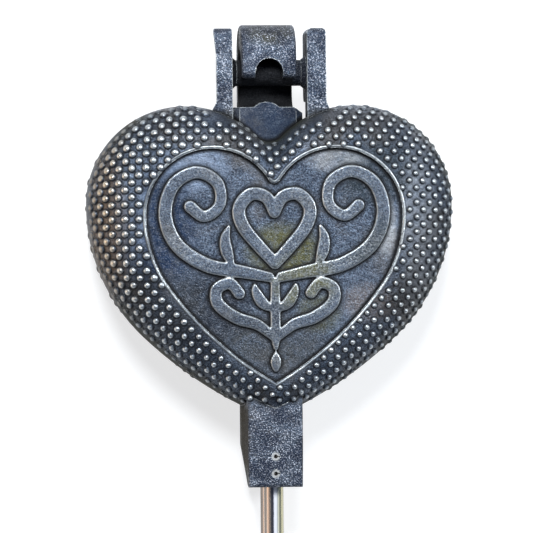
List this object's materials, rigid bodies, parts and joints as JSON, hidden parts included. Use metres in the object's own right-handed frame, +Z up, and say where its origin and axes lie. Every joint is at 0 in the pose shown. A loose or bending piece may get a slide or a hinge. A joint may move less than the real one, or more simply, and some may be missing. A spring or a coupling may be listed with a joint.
{
  "type": "pie iron",
  "caption": "Long-handled campfire pie iron: two hinged heart-shaped cast iron bowls on chromed rods, with wooden grips and a swing latch.",
  "frame": {"origin": "centre of the whole iron's box at its bottom, with the iron lying flat on its rear head", "axes": "+Z up, square to the land where the two heads meet; +Y along the rods from the grips towards the hinge; +X to the right when seen from above with the hinge at the top"},
  "size_m": [0.1186, 0.711, 0.0486],
  "materials": {
    "cast_iron": "seasoned sand casting, worn bright on raised edges",
    "chromed_rod": "bright chrome plate on steel rod",
    "spring_steel": "bright spring steel",
    "latch_steel": "zinc plated strip",
    "ferrule_steel": "drawn steel cup",
    "turned_wood": "stained and oiled hardwood"
  },
  "bodies": {
    "rear_arm": {"rear_half": "cast_iron", "rear_rod": "chromed_rod", "rear_roll_pin_1": "spring_steel", "rear_roll_pin_2": "spring_steel", "rear_ferrule": "ferrule_steel", "rear_handle": "turned_wood", "rear_handle_pin": "spring_steel", "latch_collar_front": "latch_steel", "latch_collar_back": "latch_steel"},
    "front_arm": {"front_half": "cast_iron", "front_rod": "chromed_rod", "front_roll_pin_1": "spring_steel", "front_roll_pin_2": "spring_steel", "front_ferrule": "ferrule_steel", "front_handle": "turned_wood", "front_handle_pin": "spring_steel"},
    "latch": {"latch_hook": "latch_steel"}
  },
  "joints": [
    {"name": "head_hinge", "type": "hinge", "parent": "rear_arm", "child": "front_arm", "pos_m": [0, 0.3399, 0.018], "axis": [-1, 0, 0], "range_deg": [0, 110]},
    {"name": "latch_swing", "type": "hinge", "parent": "rear_arm", "child": "latch", "pos_m": [0, -0.2015, 0.012], "axis": [0, 1, 0], "range_deg": [0, 103]}
  ]
}
